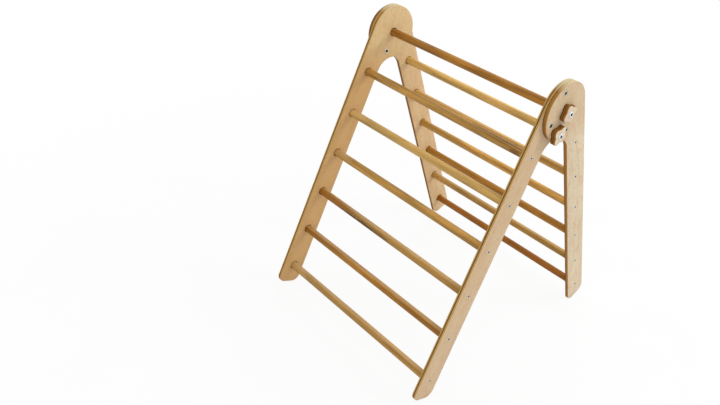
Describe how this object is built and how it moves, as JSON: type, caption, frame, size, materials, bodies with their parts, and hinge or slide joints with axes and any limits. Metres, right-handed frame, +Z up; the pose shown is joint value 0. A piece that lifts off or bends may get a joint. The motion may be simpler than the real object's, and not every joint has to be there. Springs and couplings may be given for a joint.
{
  "type": "pikler climbing triangle",
  "caption": "Folding wooden climbing frame: two ladders of round rungs between plywood side panels, hinged at round heads and locked by scalloped knobs.",
  "frame": {"origin": "on the floor, midway between the sides, straight below the fold axis, with the set standing open", "axes": "+X along the rungs towards the right side, +Y towards the rear ladder, +Z up"},
  "size_m": [0.737, 0.8458, 0.9265],
  "materials": {
    "panel_birch_right": "sanded, pale birch plywood",
    "panel_birch_left": "sanded, warm birch plywood",
    "rung_pale": "oiled, satin",
    "rung_brown": "oiled, satin",
    "rung_dark": "oiled, satin",
    "knob_wood": "plywood, sanded",
    "zinc": "bright zinc plated"
  },
  "bodies": {
    "front_ladder": {"front_panel_left": "panel_birch_left", "front_panel_right": "panel_birch_right", "front_rung_1": "rung_dark", "front_rung_2": "rung_brown", "front_rung_3": "rung_pale", "front_rung_4": "rung_brown", "front_rung_5": "rung_brown", "front_rung_6": "rung_brown", "front_rung_7": "rung_brown", "front_screw_left_2": "zinc", "front_screw_left_3": "zinc", "front_screw_left_4": "zinc", "front_screw_left_5": "zinc", "front_screw_left_6": "zinc", "front_screw_left_7": "zinc", "front_screw_right_2": "zinc", "front_screw_right_3": "zinc", "front_screw_right_4": "zinc", "front_screw_right_5": "zinc", "front_screw_right_6": "zinc", "front_screw_right_7": "zinc", "lock_nut_left": "zinc", "lock_nut_right": "zinc"},
    "rear_ladder": {"rear_panel_left": "panel_birch_left", "rear_panel_right": "panel_birch_right", "rear_rung_1": "rung_pale", "rear_rung_2": "rung_brown", "rear_rung_3": "rung_brown", "rear_rung_4": "rung_dark", "rear_rung_5": "rung_brown", "rear_rung_6": "rung_dark", "rear_screw_left_1": "zinc", "rear_screw_left_2": "zinc", "rear_screw_left_3": "zinc", "rear_screw_left_4": "zinc", "rear_screw_left_5": "zinc", "rear_screw_left_6": "zinc", "rear_screw_right_1": "zinc", "rear_screw_right_2": "zinc", "rear_screw_right_3": "zinc", "rear_screw_right_4": "zinc", "rear_screw_right_5": "zinc", "rear_screw_right_6": "zinc", "lock_bushing_left_folded": "zinc", "lock_bushing_left_standing": "zinc", "lock_bushing_left_wide": "zinc", "lock_bushing_left_flat": "zinc", "lock_bushing_right_folded": "zinc", "lock_bushing_right_standing": "zinc", "lock_bushing_right_wide": "zinc", "lock_bushing_right_flat": "zinc"},
    "pivot_clamp_left": {"pivot_knob_left": "knob_wood", "pivot_bolt_left": "zinc"},
    "lock_pin_left": {"lock_knob_left": "knob_wood", "lock_bolt_left": "zinc"},
    "pivot_clamp_right": {"pivot_knob_right": "knob_wood", "pivot_bolt_right": "zinc"},
    "lock_pin_right": {"lock_knob_right": "knob_wood", "lock_bolt_right": "zinc"}
  },
  "joints": [
    {"name": "fold", "type": "hinge", "parent": "front_ladder", "child": "rear_ladder", "pos_m": [0, 0, 0.84154], "axis": [1, 0, 0], "range_deg": [-45, 135]},
    {"name": "pivot_clamp_turn_left", "type": "hinge", "parent": "front_ladder", "child": "pivot_clamp_left", "pos_m": [0, 0, 0.84154], "axis": [-1, 0, 0], "continuous": true},
    {"name": "lock_pin_draw_left", "type": "slide", "parent": "rear_ladder", "child": "lock_pin_left", "axis": [-1, 0, 0], "range_m": [0, 0.03]},
    {"name": "pivot_clamp_turn_right", "type": "hinge", "parent": "front_ladder", "child": "pivot_clamp_right", "pos_m": [0, 0, 0.84154], "axis": [1, 0, 0], "continuous": true},
    {"name": "lock_pin_draw_right", "type": "slide", "parent": "rear_ladder", "child": "lock_pin_right", "axis": [1, 0, 0], "range_m": [0, 0.03]}
  ]
}
